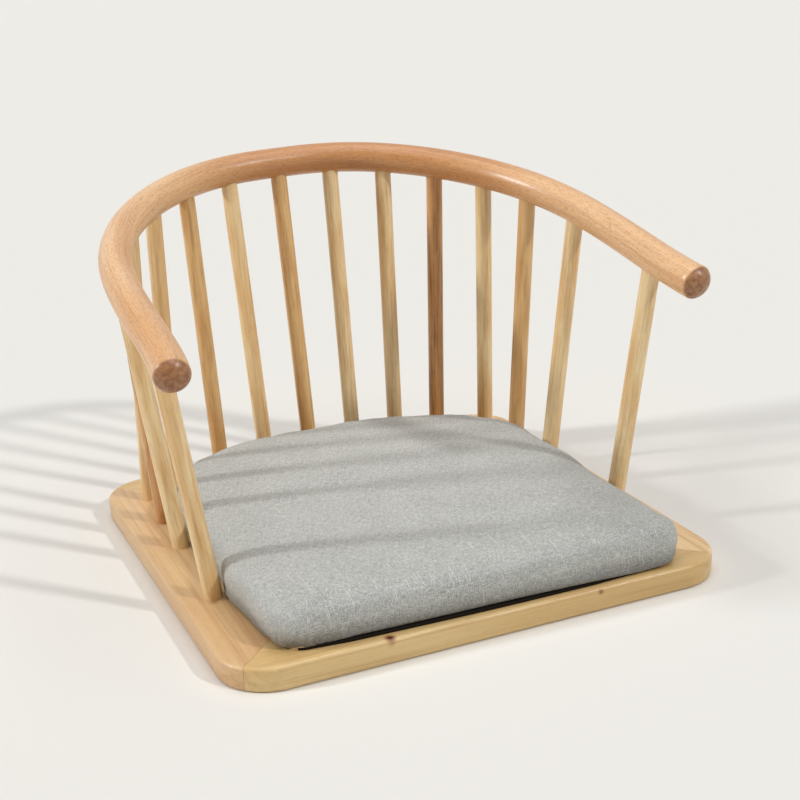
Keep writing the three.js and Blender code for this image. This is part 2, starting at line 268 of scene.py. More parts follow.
# What every wood shares
woodGrain = {
    "bend": 0.012,
    "bendScales": ((9, 9, 3.1), (13, 13, 2.3)),
    "ringSharpness": 3.0,
    "streakMix": (0.35, 0.65),
    "streakRange": (0.46, 0.66),
    "poreScale": (1700, 1700, 90),
    "poreRange": (0.60, 0.72),
    "fleckScale": (1250, 1250, 170),
    "fleckRange": (0.50, 0.68),
    # tint and fullness of the darker stretch, which is part wood tone and part painted shade
    "backToneAndShadeTint": paint(222, 196, 162),
    "backToneAndShadeFull": 0.4,
    # colour, and where it starts and is full in shares of the knot's size
    "knotRings": [(paint(150, 92, 50), 1.0, 0.35), (paint(64, 32, 20), 0.55, 0.2)],
    "knotRagged": 0.004,
    "endScale": (240, 240, 240),
    "endRange": (0.35, 0.65),
    "endMix": 0.28,
    "endCover": 0.9,
    "specular": 0.45,
    "coatRoughness": 0.30,
    "dulling": 0.16,
    "dullingFrom": 0.4,
    "dips": {"pore": 0.6, "fleck": 0.3, "ring": 0.2},
    "bumpDepth": 0.00012,
}


def woodFinish(name, look):
    v = woodGrain
    g = Graph(bpy.data.materials.new(name))
    grain = g.attribute("grain")
    endShare = g.attribute("endShare", out="Fac")
    across, up, along = g.parts(grain)
    bendA, bendB = (g.cloud(grain, scale, detail=2) - 0.5 for scale in v["bendScales"])
    bentX = across + v["bend"] * bendA
    bentY = up + v["bend"] * bendB
    radius = (bentX * bentX + bentY * bentY) ** 0.5
    cycle = g.node("ShaderNodeMath", {"operation": "FRACT"}, [radius / look["ringPitch"]])
    ring = cycle ** v["ringSharpness"]
    tone = g.step(g.cloud(grain, look["toneScale"], detail=3, rough=0.55), *look["toneRange"])
    fibre = g.cloud(grain, look["fibreScale"], detail=3, rough=0.6)
    broad = g.cloud(grain, look["streakScale"], detail=3, rough=0.55)
    fibreMix, broadMix = v["streakMix"]
    streak = g.step(fibre * fibreMix + broad * broadMix, *v["streakRange"])
    pore = g.step(g.cloud(grain, v["poreScale"], detail=2, rough=0.5), *v["poreRange"])
    fleck = g.step(g.cloud(grain, v["fleckScale"], detail=2, rough=0.6), *v["fleckRange"])
    colour = g.blend(tone, look["pale"], look["warm"])
    colour = g.blend(ring * look["ringShare"] + streak * look["streakShare"], colour, look["dark"])
    colour = g.blend(pore * look["poreShare"] + fleck * look["fleckShare"], colour, look["dark"])
    # a darker stretch along the piece: part its own tone, part painted shade where it gets less light
    middle, reach, depth = look["backToneAndShade"]
    if depth > 0:
        away = g.node("ShaderNodeMath", {"operation": "ABSOLUTE"}, [along - middle])
        shade = g.step(away, reach, reach * v["backToneAndShadeFull"]) * depth
        colour = g.blend(shade, colour, v["backToneAndShadeTint"], "MULTIPLY")
    for centre, size, depth in look["knots"]:
        gap = g.node("ShaderNodeVectorMath", {"operation": "DISTANCE"}, [grain, centre], out="Value")
        ragged = gap + v["knotRagged"] * (fibre - 0.5)
        for tint, outer, inner in v["knotRings"]:
            colour = g.blend(g.step(ragged, size * outer, size * inner) * depth, colour, tint)
    mottle = g.step(g.cloud(grain, v["endScale"], detail=3, rough=0.6), *v["endRange"])
    endGrain = g.blend(v["endMix"], look["end"], g.blend(mottle, look["end"], colour))
    colour = g.blend(endShare * v["endCover"], colour, endGrain)
    sockets = {
        "Base Color": colour,
        "Roughness": look["roughness"] + v["dulling"] * (streak - v["dullingFrom"]),
        "Specular IOR Level": v["specular"],
        "Coat Weight": look["coat"],
        "Coat Roughness": v["coatRoughness"],
    }
    dips = v["dips"]
    height = 1 - (pore * dips["pore"] + fleck * dips["fleck"] + ring * dips["ring"])
    return g.surface(sockets, height, v["bumpDepth"])


plyLook = {
    "light": paint(214, 186, 140),
    "shade": paint(176, 140, 96),
    "streakScale": (6, 420, 900),
    "broadScale": (3, 24, 24),
    "mix": (0.6, 0.4),
    "range": (0.38, 0.66),
    "roughness": 0.7,
    "dulling": 0.1,
    "bumpDepth": 0.0001,
}


def plyFinish(name, look):
    g = Graph(bpy.data.materials.new(name))
    place = g.node("ShaderNodeTexCoord", {}, out="Object")
    streak = g.cloud(place, look["streakScale"], detail=4, rough=0.6)
    broad = g.cloud(place, look["broadScale"], detail=3, rough=0.5)
    streakMix, broadMix = look["mix"]
    tone = g.step(streak * streakMix + broad * broadMix, *look["range"])
    sockets = {
        "Base Color": g.blend(tone, look["light"], look["shade"]),
        "Roughness": look["roughness"] + look["dulling"] * streak,
    }
    return g.surface(sockets, streak, look["bumpDepth"])


steelLook = {
    "bright": paint(206, 204, 196),
    "dull": paint(160, 158, 150),
    "smearScale": (900, 900, 300),
    "metallic": 0.9,
    "roughness": 0.38,
    "bumpDepth": 0.00005,
}


def steelFinish(name, look):
    g = Graph(bpy.data.materials.new(name))
    place = g.node("ShaderNodeTexCoord", {}, out="Object")
    smear = g.cloud(place, look["smearScale"], detail=3, rough=0.6)
    sockets = {
        "Base Color": g.blend(smear, look["bright"], look["dull"]),
        "Metallic": look["metallic"],
        "Roughness": look["roughness"],
    }
    return g.surface(sockets, smear, look["bumpDepth"])


# weave is a mesh attribute: the cloth's own flat coordinates and height above the board, in metres.
# Slubs are the thick stretches of thread
linenLook = {
    "light": paint(207, 208, 203),
    "shade": paint(147, 148, 144),
    "threadsPerMetre": 1150,
    "threadRun": 160,
    "gritShare": 0.8,
    "patchScale": (22, 22, 1),
    "toneMix": (0.3, 0.3, 0.34, 0.06),  # warp, weft, grit, patches
    "toneRange": (0.40, 0.60),
    "slub": paint(236, 237, 233),
    "slubFront": (-0.15, -0.235),  # from where to where towards the front there are more
    "slubPitch": 1900,
    "slubRun": 19,
    "slubSpread": (90, 57),
    "slubGain": 0.07,
    "slubRange": (0.765, 0.785),
    "slubShare": 0.62,
    # painted shade: the linen is darker low on the hem, where shade falls next to the board
    "paintedHemShade": paint(164, 160, 156),
    "paintedHemShadeReach": (0.024, 0.003),  # heights where the painted shade on the hem starts and is darkest
    "paintedHemShadeShare": 0.85,
    "roughness": 0.92,
    "sheen": 0.25,
    "sheenRoughness": 0.5,
    "specular": 0.2,
    "relief": (0.5, 0.6, 0.8),  # weave, tone, slubs
    "bumpDepth": 0.00016,
}


def linenFinish(name, look):
    g = Graph(bpy.data.materials.new(name))
    cloth = g.attribute("weave")
    count, run = look["threadsPerMetre"], look["threadRun"]
    grit = count * look["gritShare"]
    clouds = [
        g.cloud(cloth, (count, run, 1), detail=2, rough=0.6),
        g.cloud(cloth, (run, count, 1), detail=2, rough=0.6),
        g.cloud(cloth, (grit, grit, 1), detail=2, rough=0.7),
        g.cloud(cloth, look["patchScale"], detail=3, rough=0.5),
    ]
    warp, weft, gritty, patch = (cloud * share for cloud, share in zip(clouds, look["toneMix"]))
    tone = g.step(warp + weft + gritty + patch, *look["toneRange"])
    colour = g.blend(tone, look["light"], look["shade"])
    across, along, rise = g.parts(cloth)
    front = g.step(along, *look["slubFront"])
    spreadA, spreadB = look["slubSpread"]
    thick = []
    for cross, length in ((across, along), (along, across)):
        # each thread looks along its own straight line through the noise for its thick stretches
        thread = g.node("ShaderNodeMath", {"operation": "FLOOR"}, [cross * look["slubPitch"]])
        chance = g.node("ShaderNodeTexWhiteNoise", {"noise_dimensions": "1D"}, {"W": thread})
        place = [chance * spreadA, length * look["slubRun"], chance * spreadB]
        line = g.node("ShaderNodeCombineXYZ", {}, place)
        fullness = g.cloud(line, (1, 1, 1), detail=1, rough=0.4) + front * look["slubGain"]
        thick.append(g.step(fullness, *look["slubRange"]))
    slub = g.node("ShaderNodeMath", {"operation": "MAXIMUM"}, thick)
    colour = g.blend(slub * look["slubShare"], colour, look["slub"])
    # painted shade, darker towards the board at the hem
    low = g.step(rise, *look["paintedHemShadeReach"]) * look["paintedHemShadeShare"]
    colour = g.blend(low, colour, look["paintedHemShade"], "MULTIPLY")
    over = g.node("ShaderNodeMath", {"operation": "SINE"}, [across * (math.pi * count)])
    under = g.node("ShaderNodeMath", {"operation": "SINE"}, [along * (math.pi * count)])
    weaveRelief, toneRelief, slubRelief = look["relief"]
    height = over * under * weaveRelief + tone * toneRelief + slub * slubRelief
    sockets = {
        "Base Color": colour,
        "Roughness": look["roughness"],
        "Sheen Weight": look["sheen"],
        "Sheen Roughness": look["sheenRoughness"],
        "Specular IOR Level": look["specular"],
    }
    return g.surface(sockets, height, look["bumpDepth"])


def sharpen(piece, degrees):
    mesh = piece.data
    mesh.shade_smooth()
    mesh.set_sharp_from_angle(angle=math.radians(degrees))


def meshPiece(name, points, faces, fields):
    # a new object in the scene from points and faces, with the fields its material reads
    mesh = bpy.data.meshes.new(name)
    mesh.from_pydata(points, [], faces)
    for key, values in fields.items():
        flat = np.array(values, dtype=np.float32)
        kind, slotName = ("FLOAT_VECTOR", "vector") if flat.ndim == 2 else ("FLOAT", "value")
        mesh.attributes.new(key, kind, "POINT").data.foreach_set(slotName, flat.ravel())
    mesh.update()
    piece = bpy.data.objects.new(name, mesh)
    bpy.context.scene.collection.objects.link(piece)
    return piece


def skin(rings, closed=False):
    # faces between rings of equal count: closed on themselves, or else with a face over each end
    count, total = len(rings[0]), len(rings)
    faces = []
    for r in range(total if closed else total - 1):
        below, above = r * count, (r + 1) % total * count
        for i in range(count):
            j = (i + 1) % count
            faces.append((below + i, below + j, above + j, above + i))
    if not closed:
        last = (total - 1) * count
        faces.append(tuple(range(count - 1, -1, -1)))
        faces.append(tuple(range(last, last + count)))
    return faces


def loft(name, rings, grains, ends):
    # a piece of wood from rings, their places in the grain and how much end grain each shows
    count = len(rings[0])
    fields = {
        "grain": [place for ring in grains for place in ring],
        "endShare": [end for end in ends for _ in range(count)],
    }
    return meshPiece(name, [point for ring in rings for point in ring], skin(rings), fields)


# The board's outline and thickness, which the rails share, in metres
board = {
    "halfWidth": 0.250,
    "halfDepth": 0.250,
    "thickness": 0.024,
    "cornerRadius": 0.050,
    "edgeRound": 0.004,
    "railWidth": 0.064,
    "rebateInset": 0.055,
    "rebateDepth": 0.009,
    "mitreGap": 0.0003,
    "innerRound": 0.001,
    "edgeSteps": 6,
    "cornerSteps": 12,
    "straightSteps": 40,
    "sharpAngle": 32,
}

# Arm bow: a clamped cubic B-spline in plan, in shares of half span and length
bow = {
    "halfSpan": 0.254,
    "backReach": 0.266,
    "armReach": 0.176,
    "backHeight": 0.360,
    "endHeight": 0.273,
    "planShares": [(0, 0), (0.27, 0), (0.66, 0.115), (1.04, 0.46), (0.97, 0.885), (1, 1)],
    "radius": 0.0165,
    "domeDepth": 0.010,
    "sides": 56,
    "steps": 280,
    "domeSteps": 9,
    "curveSteps": 2400,
    "sharpAngle": 50,
    "pith": (0.034, -0.021),  # where the rod's middle lies in the log
}
# The chair's middle lies this far in front of the board's middle
chairShift = (board["halfDepth"] - bow["backReach"] - bow["radius"]) / 2


def bowPoints(v, count):
    # evenly spaced points along the bow's centreline, with the length up to each
    length = v["backReach"] + v["armReach"]
    drop = v["endHeight"] - v["backHeight"]
    half = []
    for across, forward in v["planShares"]:
        x, y = across * v["halfSpan"], v["backReach"] - forward * length
        half.append((x, y, v["backHeight"] + forward * drop))
    control = np.array([(-x, y, z) for x, y, z in reversed(half[1:])] + half)
    degree = 3
    spans = len(control) - degree
    knots = np.clip(np.arange(-degree, spans + degree + 1), 0, spans).astype(float)
    dense = []
    for t in np.linspace(0, spans, v["curveSteps"]):
        span = min(int(t), spans - 1) + degree
        local = [control[j + span - degree].copy() for j in range(degree + 1)]
        for level in range(1, degree + 1):
            for j in range(degree, level - 1, -1):
                low = knots[j + span - degree]
                high = knots[j + 1 + span - level]
                share = (t - low) / (high - low) if high > low else 0.0
                local[j] = (1 - share) * local[j - 1] + share * local[j]
        dense.append(local[degree])
    dense = np.array(dense)
    arc = np.concatenate([[0.0], np.cumsum(np.linalg.norm(np.diff(dense, axis=0), axis=1))])
    marks = np.linspace(0, arc[-1], count)
    even = np.stack([np.interp(marks, arc, dense[:, k]) for k in range(3)], axis=1)
    even[:, 1] += chairShift
    return even, marks


def makeBow(v):
    centre, marks = bowPoints(v, v["steps"] + 1)
    tangent = np.gradient(centre, axis=0)
    tangent /= np.linalg.norm(tangent, axis=1)[:, None]
    normal = np.array([0.0, v["endHeight"] - v["backHeight"], v["backReach"] + v["armReach"]])
    normal /= np.linalg.norm(normal)
    # the end dome is part of a ball, so it meets the rod at a soft corner
    ball = (v["radius"] ** 2 + v["domeDepth"] ** 2) / (2 * v["domeDepth"])
    rimAngle = math.asin(v["radius"] / ball)
    dome = []
    for i in range(1, v["domeSteps"]):
        angle = rimAngle * (1 - i / v["domeSteps"])
        dome.append((ball * math.cos(angle) - ball + v["domeDepth"], ball * math.sin(angle)))
    stations = [(0, -reach, width, 1.0) for reach, width in reversed(dome)]
    stations += [(i, 0.0, v["radius"], 0.0) for i in range(v["steps"] + 1)]
    stations += [(v["steps"], reach, width, 1.0) for reach, width in dome]
    rings, grains, ends = [], [], []
    for index, offset, radius, end in stations:
        side = np.cross(normal, tangent[index])
        middle = centre[index] + tangent[index] * offset
        ring, grain = [], []
        for k in range(v["sides"]):
            angle = 2 * math.pi * k / v["sides"]
            c, s = radius * math.cos(angle), radius * math.sin(angle)
            ring.append(middle + side * c + normal * s)
            grain.append((c + v["pith"][0], s + v["pith"][1], marks[index] + offset))
        rings.append(ring)
        grains.append(grain)
        ends.append(end)
    piece = loft("bentArmBow", rings, grains, ends)
    sharpen(piece, v["sharpAngle"])
    return piece


armBow = makeBow(bow)
armBow.data.materials.append(woodFinish("bentBeech", beechWood))
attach(armBow, "frame")
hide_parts("arm_bow")
print("arm bow swept")

# Spindles, from the middle of the back to the front: places on the board and along the bow, in metres
spindles = {
    "radius": 0.009,
    "boardDepth": 0.018,
    "perSide": 7,
    "backRowInset": 0.022,
    "backRowPitch": 0.055,
    "backRowPerSide": 3,
    "sideRowBackInset": 0.042,
    "sideRowFrontInset": 0.033,
    "sideRowSetback": 0.067,
    "sideRowPitch": 0.072,
    "frontGap": 0.130,
    "bowPitch": 0.061,
    "bowSideGap": 0.076,
    "bowFrontGap": 0.140,
    "sides": 40,
    "steps": 24,
    "bowSteps": 1200,
    "endRound": 0.0015,
    "sharpAngle": 35,
    "pithReach": 0.03,  # how far from the pith they are cut
    "logPitch": 0.7,  # and how far apart along the log
    "brown": (5, 13),  # numbers of the spindles in this wood
    "amber": (3, 8, 10),
}


def spindleAxes(v):
    # foot and top of each spindle, from the front right round to the front left
    centre, marks = bowPoints(bow, v["bowSteps"])
    middle = marks[-1] / 2
    rowLength = 2 * v["sideRowPitch"] + v["frontGap"]
    axes = []
    for side in range(v["perSide"], -v["perSide"] - 1, -1):
        count = abs(side)
        hand = (side > 0) - (side < 0)
        x = hand * count * v["backRowPitch"]
        y = board["halfDepth"] - v["backRowInset"]
        along = min(count, v["perSide"] - 2) * v["bowPitch"]
        if count > v["backRowPerSide"]:
            step = count - v["backRowPerSide"] - 1
            forward = rowLength if count == v["perSide"] else step * v["sideRowPitch"]
            share = forward / rowLength
            inset = v["sideRowBackInset"] * (1 - share) + v["sideRowFrontInset"] * share
            x = hand * (board["halfWidth"] - inset)
            y = board["halfDepth"] - v["sideRowSetback"] - forward
        if count >= v["perSide"] - 1:
            along += v["bowSideGap"]
        if count == v["perSide"]:
            along += v["bowFrontGap"]
        mark = middle + hand * along
        top = Vector([float(np.interp(mark, marks, centre[:, k])) for k in range(3)])
        foot = Vector((x, y, board["thickness"])) + Vector((0, chairShift, 0))
        axes.append((foot, top))
    return axes


def makeSpindle(number, foot, top, v):
    ahead = (top - foot).normalized()
    reach = (top - foot).length
    sideways = ahead.orthogonal().normalized()
    across = ahead.cross(sideways)
    # every spindle is cut from another place in the log
    pith = Vector(noise.random_unit_vector()) * v["pithReach"]
    pith += Vector((0.0, 0.0, v["logPitch"] * number))
    turn = noise.random() * 2 * math.pi
    heights = [v["endRound"] * k / 2 - v["boardDepth"] for k in (0, 1, 2)]
    heights += [reach * k / v["steps"] for k in range(v["steps"])]
    heights += [reach - v["endRound"], reach]
    rings, grains = [], []
    for height in heights:
        nearEnd = min(height + v["boardDepth"], reach - height)
        radius = v["radius"] - max(0.0, v["endRound"] - nearEnd)
        ring, grain = [], []
        for k in range(v["sides"]):
            angle = 2 * math.pi * k / v["sides"]
            spoke = sideways * math.cos(angle) + across * math.sin(angle)
            ring.append(foot + ahead * height + spoke * radius)
            inLog = (radius * math.cos(angle + turn), radius * math.sin(angle + turn), height)
            grain.append(pith + Vector(inLog))
        rings.append(ring)
        grains.append(grain)
    piece = loft("roundSpindle%02d" % number, rings, grains, [0.0] * len(rings))
    sharpen(piece, v["sharpAngle"])
    return piece


noise.seed_set(7)
paleSpindleFinish = woodFinish("paleSpindleWood", paleWood)
amberSpindleFinish = woodFinish("amberSpindleWood", amberWood)
brownSpindleFinish = woodFinish("brownSpindleWood", brownWood)
for number, (foot, top) in enumerate(spindleAxes(spindles), start=1):
    isBrown = number in spindles["brown"]
    spindle = makeSpindle(number, foot, top, spindles)
    plainFinish = amberSpindleFinish if number in spindles["amber"] else paleSpindleFinish
    spindle.data.materials.append(brownSpindleFinish if isBrown else plainFinish)
    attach(spindle, "frame")
    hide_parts("spindle_%02d" % number)
print("spindles turned")


def railPath(halfLength, distance, v):
    # outer edge of a rail that lies along -Y, from mitre to mitre: point, outward direction
    radius, steps = v["cornerRadius"], v["cornerSteps"]
    cx, cy = halfLength - radius, radius - distance
    path = []

    def turnTo(middle, degrees):
        c, s = math.cos(math.radians(degrees)), math.sin(math.radians(degrees))
        path.append((middle + radius * c, cy + radius * s, c, s))

    for i in range(steps):
        turnTo(-cx, 225 + 45 * i / steps)
    for i in range(v["straightSteps"] + 1):
        path.append((-cx + 2 * cx * i / v["straightSteps"], -distance, 0.0, -1.0))
    for i in range(1, steps + 1):
        turnTo(cx, 270 + 45 * i / steps)
    return path


def railSection(v):
    # cross-section as inset from the outer edge and height: round the outer edge from the underside
    # to the top, then down the inner edge
    r, t = v["edgeRound"], v["thickness"]
    angles = [math.pi / 2 * i / v["edgeSteps"] for i in range(v["edgeSteps"] + 1)]
    outer = [(r - r * math.sin(angle), r - r * math.cos(angle)) for angle in angles]
    outer += [(r - r * math.cos(angle), t - r + r * math.sin(angle)) for angle in angles]
    inner = [
        (v["rebateInset"], t),
        (v["rebateInset"], t - v["rebateDepth"]),
        (v["railWidth"], t - v["rebateDepth"]),
        (v["railWidth"], v["innerRound"]),
        (v["railWidth"] - v["innerRound"], 0.0),
    ]
    return outer, inner


def makeRail(name, turns, halfLength, distance, log, v):
    path = railPath(halfLength, distance, v)
    outer, inner = railSection(v)
    spin = Matrix.Rotation(turns * math.pi / 2, 3, "Z")
    startX, endX = path[0][0], path[-1][0]
    shift = v["mitreGap"] / math.sqrt(2)
    rings, grains = [], []
    for x, y, nx, ny in path:
        share = (x - startX) / (endX - startX)
        trim = shift * (1 - 2 * share)
        ring = [Vector((x - nx * inset + trim, y - ny * inset, height)) for inset, height in outer]
        for inset, height in inner:
            half = halfLength - inset
            ring.append(Vector(((2 * share - 1) * half + trim, inset - distance, height)))
        grains.append([(p.y + log[0], p.z + log[1], p.x + log[2]) for p in ring])
        rings.append([spin @ p + Vector((0, chairShift, 0)) for p in ring])
    piece = loft(name, rings, grains, [0.0] * len(rings))
    sharpen(piece, v["sharpAngle"])
    return piece


# Each rail: turns of 90 degrees, its place in the log, wood, CAD node and slot
railPieces = {
    "frontRail": (0, (0.31, -0.05, 0.0), frontBoardWood, "base_front_rail", "board_pale"),
    "rightRail": (1, (0.29, -0.07, 1.3), rightBoardWood, "base_right_rail", "board_tawny"),
    "backRail": (2, (0.33, -0.04, 2.6), frontBoardWood, "base_back_rail", "board_pale"),
    "leftRail": (3, (0.30, -0.09, 3.9), sideBoardWood, "base_left_rail", "board_tawny"),
}
for railName, (turns, log, wood, nodeName, slotName) in railPieces.items():
    along = (board["halfWidth"], board["halfDepth"])
    halfLength, distance = along if turns % 2 == 0 else along[::-1]
    rail = makeRail(railName, turns, halfLength, distance, log, board)
    rail.data.materials.append(woodFinish(railName + "Wood", wood))
    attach(rail, "frame")
    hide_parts(nodeName)
print("rails mitred")

# Cushion, in metres. Places along the edge count from the middle of the front, left below zero.
# A fullness over 1 makes a fade full before its end
cushion = {
    "halfWidth": 0.2029,
    "frontInset": 0.007,
    "backInset": 0.042,
    "backRun": 0.168,
    "backSquareness": 2.7,
    "cornerRadius": 0.028,
    "edgeHeight": 0.043,
    "crown": 0.0045,
    "drawIn": 0.0012,
    "seatGap": 0.0004,
    "edgeShares": [  # inset and rise from the underside up, in shares of the height
        (0.30, 0), (0.20, 0.05), (0.125, 0.12), (0.065, 0.22), (0.022, 0.35),
        (0, 0.52), (0.008, 0.70), (0.045, 0.85), (0.12, 0.95), (0.27, 1),
    ],
    "edgeRings": 28,
    "topRings": 24,
    "topCore": 0.04,
    "planSteps": {"back": 60, "side": 30, "corner": 14, "front": 26},
    "frontSwell": 0.002,
    "frontSkew": (0.0010, 0.0045, 0.10),  # front moved back, more at its left end, reach inwards
    "undersize": 0.0012,
    "voxel": 0.0042,
    "pressure": 4.0,
    "clothMass": 0.2,
    "clothQuality": 6,
    "frames": 20,
    "cap": 0.004,  # the most that the stuffing moves a point
    "relaxSteps": 2,
    "frontLift": 0.0002,
    "liftFrom": (-0.172, 0.030),  # end of the lifted hem, run
    "liftTo": (0.160, 0.050),
    "liftDepth": 0.016,
    "liftFullness": 1.8,
    "liftReach": 0.018,
    "sideFade": (1.4, 0.012),
    "swellReach": 0.07,
    "pinchFullness": 1.3,
    "pullFullness": 4,
    "topFade": (0.8, 0.006),
    "rollShare": 1.6,  # over 1, the sides count as upright before they quite are
    "fill": 0.75,
    # gathers: place along the edge, width, depth, reach up the side
    "puckers": [
        (-0.168, 0.0028, 0.0011, 0.016),
        (-0.158, 0.0024, 0.0008, 0.012),
        (-0.180, 0.0030, 0.0009, 0.018),
        (-0.192, 0.0032, 0.0007, 0.015),
        (-0.204, 0.0030, 0.0005, 0.012),
        (0.182, 0.0032, 0.0007, 0.018),
        (0.196, 0.0030, 0.0008, 0.016),
        (0.207, 0.0028, 0.0005, 0.012),
    ],
    # left -1 or right 1, middle, reach, swell
    "sideSwells": [
        (-1, -0.026, 0.056, 0.0042),
        (1, -0.026, 0.056, 0.0042),
        (-1, 0.075, 0.030, 0.0018),
        (1, 0.075, 0.030, 0.0024),
        (-1, -0.112, 0.060, 0.0080),
        (-1, -0.172, 0.048, 0.0034),
        (1, -0.150, 0.060, 0.0012),
    ],
    # middle, reach each way, rise
    "topSwells": [((0.178, -0.010), (0.055, 0.115), 0.0036), ((0.130, 0.180), (0.080, 0.065), -0.0054)],
    # where the front hem starts to fill out and is full, how far, up to what height
    "hemFill": (0.020, 0.165, 0.0046, 0.013),
    # place along the edge, width, lift, reach up the side
    "hemWaves": [(-0.228, 0.0050, 0.0016, 0.010), (-0.243, 0.0050, 0.0012, 0.010)],
    # from, to, width, depth
    "pullLines": [
        ((0.192, -0.224), (0.150, -0.196), 0.0026, 0.00045),
        ((0.196, -0.210), (0.160, -0.172), 0.0026, 0.00035),
        ((0.176, -0.228), (0.128, -0.214), 0.0024, 0.00035),
        ((-0.180, -0.228), (-0.150, -0.205), 0.0026, 0.00035),
    ],
}


def cushionPlan(v):
    # outline in the board's frame, anticlockwise seen from above and ending at the middle of the back
    backY = board["halfDepth"] - v["backInset"]
    shoulderY = backY - v["backRun"]
    frontY = v["frontInset"] - board["halfDepth"]
    halfWidth, radius, steps = v["halfWidth"], v["cornerRadius"], v["planSteps"]
    cornerX, cornerY = halfWidth - radius, frontY + radius
    power = 2 / v["backSquareness"]
    half = []
    for angle in np.linspace(0, math.pi / 2, steps["back"], endpoint=False):
        x = halfWidth * math.sin(angle) ** power
        half.append((x, shoulderY + v["backRun"] * math.cos(angle) ** power))
    for share in np.linspace(0, 1, steps["side"], endpoint=False):
        pull = v["drawIn"] * math.sin(math.pi * share) ** 2
        half.append((halfWidth - pull, shoulderY + (cornerY - shoulderY) * share))
    for angle in np.linspace(0, math.pi / 2, steps["corner"], endpoint=False):
        half.append((cornerX + radius * math.cos(angle), cornerY - radius * math.sin(angle)))
    for share in np.linspace(0, 1, steps["front"]):
        swell = v["frontSwell"] * math.sin(math.pi / 2 * share) ** 2
        half.append((cornerX * (1 - share), frontY - swell))
    other = [(-x, y) for x, y in reversed(half[1:-1])]
    plan = np.array(half + other)[::-1]
    shift, skew, reach = v["frontSkew"]
    near = np.clip(1 - (plan[:, 1] - frontY) / reach, 0, 1)
    plan[:, 1] += near * (shift - skew * plan[:, 0] / v["halfWidth"])
    return plan


def smoothProfile(shares, count):
    # a Catmull-Rom curve through the edge's rings, from the underside up
    values = np.array(shares, dtype=float)
    last = len(shares) - 1
    result = []
    for t in np.linspace(0, last, count):
        i = min(int(t), last - 1)
        f = t - i
        p = [values[min(max(j, 0), last)] for j in (i - 1, i, i + 1, i + 2)]
        slope = p[2] - p[0]
        bend = 2 * p[0] - 5 * p[1] + 4 * p[2] - p[3]
        twist = 3 * p[1] - p[0] - 3 * p[2] + p[3]
        result.append(0.5 * (2 * p[1] + slope * f + bend * f ** 2 + twist * f ** 3))
    return result


def outwardFrom(plan):
    # level directions straight out from each point of an outline that runs anticlockwise
    along = np.roll(plan, -1, axis=0) - np.roll(plan, 1, axis=0)
    along /= np.linalg.norm(along, axis=1)[:, None]
    return np.stack([along[:, 1], -along[:, 0]], axis=1)


def cushionShell(v):
    # the foam's shape before it is stuffed, a little under size all round
    plan = cushionPlan(v)
    outward = outwardFrom(plan)
    seat = board["thickness"] + v["seatGap"]
    height = v["edgeHeight"] - v["undersize"]
    middle = np.array([0.0, (v["frontInset"] - v["backInset"]) / 2])
    rings = []
    for inset, rise in smoothProfile(v["edgeShares"], v["edgeRings"]):
        flat = plan - outward * (inset * v["edgeHeight"] + v["undersize"])
        rings.append([(x, y, seat + rise * height) for x, y in flat])
    top = np.array(rings[-1])[:, :2]
    for size in np.linspace(1, v["topCore"], v["topRings"])[1:]:
        rise = v["crown"] * (1 - size ** 2)
        rings.append([(x, y, seat + height + rise) for x, y in middle + (top - middle) * size])
    points = [(x, y + chairShift, z) for ring in rings for x, y, z in ring]
    return meshPiece("linenCushion", points, skin(rings), {})


def coordinates(piece):
    flat = np.empty(len(piece.data.vertices) * 3)
    piece.data.vertices.foreach_get("co", flat)
    return flat.reshape(-1, 3)


def setCoordinates(piece, places):
    piece.data.vertices.foreach_set("co", np.asarray(places, dtype=np.float32).ravel())
    piece.data.update()


def applyModifiers(piece):
    shown = bpy.context.evaluated_depsgraph_get()
    mesh = bpy.data.meshes.new_from_object(piece.evaluated_get(shown))
    piece.modifiers.clear()
    old = piece.data
    piece.data = mesh
    bpy.data.meshes.remove(old)


def stuff(piece, v):
    # the cover swells under pressure from inside while its underside stays on the board
    start = coordinates(piece)
    seat = board["thickness"] + v["seatGap"]
    held = piece.vertex_groups.new(name="held")
    underside = np.flatnonzero(start[:, 2] < seat + v["voxel"] / 2)
    held.add([int(i) for i in underside], 1.0, "REPLACE")
    cloth = piece.modifiers.new("stuffing", "CLOTH")
    cloth.settings.quality = v["clothQuality"]
    cloth.settings.mass = v["clothMass"]
    cloth.settings.use_pressure = True
    cloth.settings.uniform_pressure_force = v["pressure"]
    cloth.settings.effector_weights.gravity = 0.0
    cloth.settings.vertex_group_mass = held.name
    cloth.point_cache.frame_start = 1
    cloth.point_cache.frame_end = v["frames"]
    scene = bpy.context.scene
    for step in range(1, v["frames"] + 1):
        scene.frame_set(step)
    applyModifiers(piece)
    moved = coordinates(piece) - start
    reach = np.linalg.norm(moved, axis=1)
    share = np.minimum(1.0, v["cap"] / np.maximum(reach, 1e-9))
    setCoordinates(piece, start + moved * share[:, None])
    scene.frame_set(1)
    print("cushion stuffed, largest move %.1f mm" % (reach.max() * 1000))


def makeCushion(v):
    piece = cushionShell(v)
    remesh = piece.modifiers.new("evenMesh", "REMESH")
    remesh.mode = "VOXEL"
    remesh.voxel_size = v["voxel"]
    applyModifiers(piece)
    stuff(piece, v)
    relax = piece.modifiers.new("relax", "SMOOTH")
    relax.iterations = v["relaxSteps"]
    finer = piece.modifiers.new("finer", "SUBSURF")
    finer.levels = 1
    finer.render_levels = 1
    applyModifiers(piece)
    # the cover takes up the CAD cushion's width and depth, and its own height
    low, high = (np.array(corner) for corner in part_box("seat_cushion"))
    high[2] = board["thickness"] + v["seatGap"] + v["edgeHeight"] + v["crown"]
    fitToBox(piece, low, high)
    settle(piece, v)
    unroll(piece, v)
    piece.data.shade_smooth()
    return piece


def fitToBox(piece, low, high):
    # stretches a piece to exactly this width, depth and height
    places = coordinates(piece)
    least, most = places.min(axis=0), places.max(axis=0)
    setCoordinates(piece, low + (places - least) * (high - low) / (most - least))


